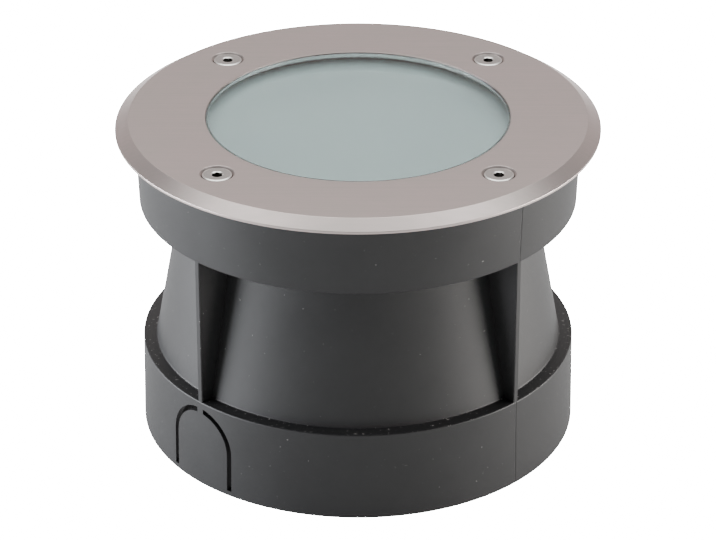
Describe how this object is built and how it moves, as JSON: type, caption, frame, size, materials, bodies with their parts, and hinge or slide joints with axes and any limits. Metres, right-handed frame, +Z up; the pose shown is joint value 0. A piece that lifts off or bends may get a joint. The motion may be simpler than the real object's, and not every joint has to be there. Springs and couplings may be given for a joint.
{
  "type": "in ground well light",
  "caption": "Round in-ground light: bevelled steel ring and frosted glass on a finned housing that drops into a moulded sleeve with collar, webs and a skirt with cable knock-out.",
  "frame": {"origin": "centre of the sleeve's foot, on the surface that it stands on", "axes": "+Z up through the glass, -Y towards the front, with the screws and webs at 45 degrees to X and Y"},
  "size_m": [0.2, 0.2, 0.1381],
  "materials": {
    "black_polymer": "moulded glass-filled polymer, fine matte texture",
    "brushed_ring": "brushed stainless steel",
    "frosted_glass": "frosted toughened glass with a bevelled rim",
    "grey_silicone": "moulded silicone rubber",
    "cast_body": "die cast, as cast",
    "plate": "rolled plate",
    "board_mask": "white solder mask on an aluminium board",
    "phosphor": "yellow phosphor under clear gel",
    "white_reflector": "white reflective polymer",
    "zinc_steel": "zinc plated steel",
    "stainless_screw": "turned stainless steel",
    "driver_case": "white moulded case",
    "terminal_case": "natural polyamide",
    "mains_insulation": "blue insulation",
    "earth_insulation": "green and yellow insulation",
    "lead_insulation": "red insulation",
    "nickel_brass": "nickel plated brass",
    "black_rubber": "moulded rubber"
  },
  "bodies": {
    "sleeve": {"mounting_sleeve": "black_polymer"},
    "luminaire": {"housing": "cast_body", "led_carrier": "plate", "carrier_screws": "zinc_steel", "led_board": "board_mask", "board_screws": "zinc_steel", "led_chips": "phosphor", "reflector": "white_reflector", "led_driver": "driver_case", "driver_screws": "zinc_steel", "terminal_block": "terminal_case", "terminal_screws": "zinc_steel", "mains_leads": "mains_insulation", "earth_lug": "zinc_steel", "earth_screw": "zinc_steel", "earth_lead": "earth_insulation", "led_leads": "lead_insulation", "gland_washer": "black_rubber", "gland_body": "nickel_brass", "gland_lock_nut": "nickel_brass", "gland_nut": "nickel_brass", "gland_seal": "black_rubber"},
    "cover": {"trim_ring": "brushed_ring", "glass_lens": "frosted_glass", "glass_gasket": "grey_silicone", "cover_screws": "stainless_screw"}
  },
  "joints": [
    {"name": "luminaire_lift", "type": "slide", "parent": "sleeve", "child": "luminaire", "axis": [0, 0, 1], "range_m": [0, 0.12]},
    {"name": "cover_lift", "type": "slide", "parent": "luminaire", "child": "cover", "axis": [0, 0, 1], "range_m": [0, 0.04]}
  ]
}
